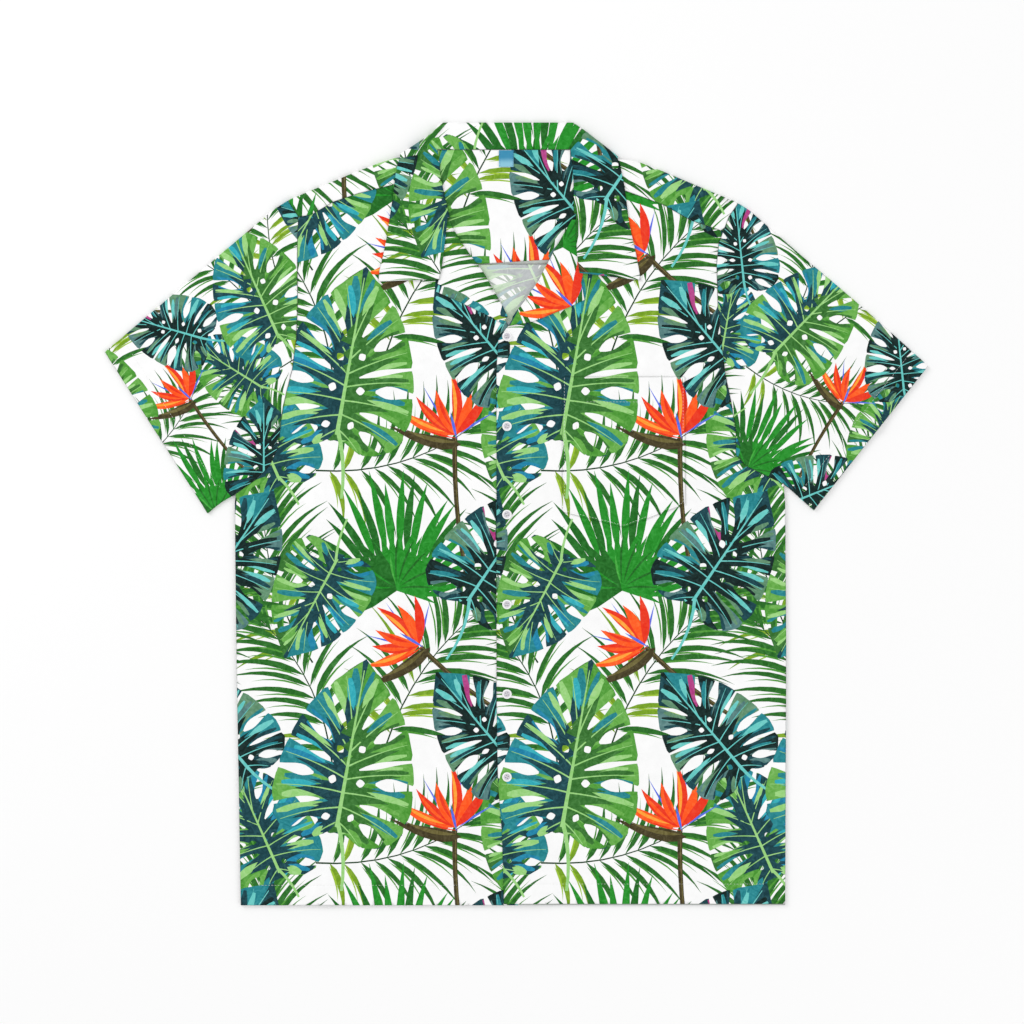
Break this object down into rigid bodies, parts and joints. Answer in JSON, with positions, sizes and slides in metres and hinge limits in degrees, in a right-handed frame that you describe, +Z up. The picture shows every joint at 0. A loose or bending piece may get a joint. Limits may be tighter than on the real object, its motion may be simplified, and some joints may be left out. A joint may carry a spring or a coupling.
{
  "type": "hawaiian shirt",
  "caption": "Short-sleeved camp-collar shirt with a tropical leaf print and a chest pocket, buttoned and laid flat, front up.",
  "frame": {"origin": "on the floor under the middle of the shirt's box, laid flat on its back", "axes": "+X toward the wearer's left sleeve, +Y toward the collar, +Z up out of the front"},
  "size_m": [0.823, 0.7822, 0.0074],
  "materials": {
    "printed_cloth": "smooth woven cloth, leaf print on white",
    "label": "woven satin label, plain",
    "button": "pearly, polished"
  },
  "bodies": {
    "root": {"back": "printed_cloth", "yoke": "printed_cloth", "inner_yoke": "printed_cloth", "front_right": "printed_cloth", "front_left": "printed_cloth", "facing_right": "printed_cloth", "facing_left": "printed_cloth", "collar": "printed_cloth", "sleeve_right": "printed_cloth", "sleeve_left": "printed_cloth", "pocket": "printed_cloth", "neck_label": "label", "button_1": "button", "button_2": "button", "button_3": "button", "button_4": "button", "button_5": "button", "button_6": "button"}
  },
  "joints": []
}
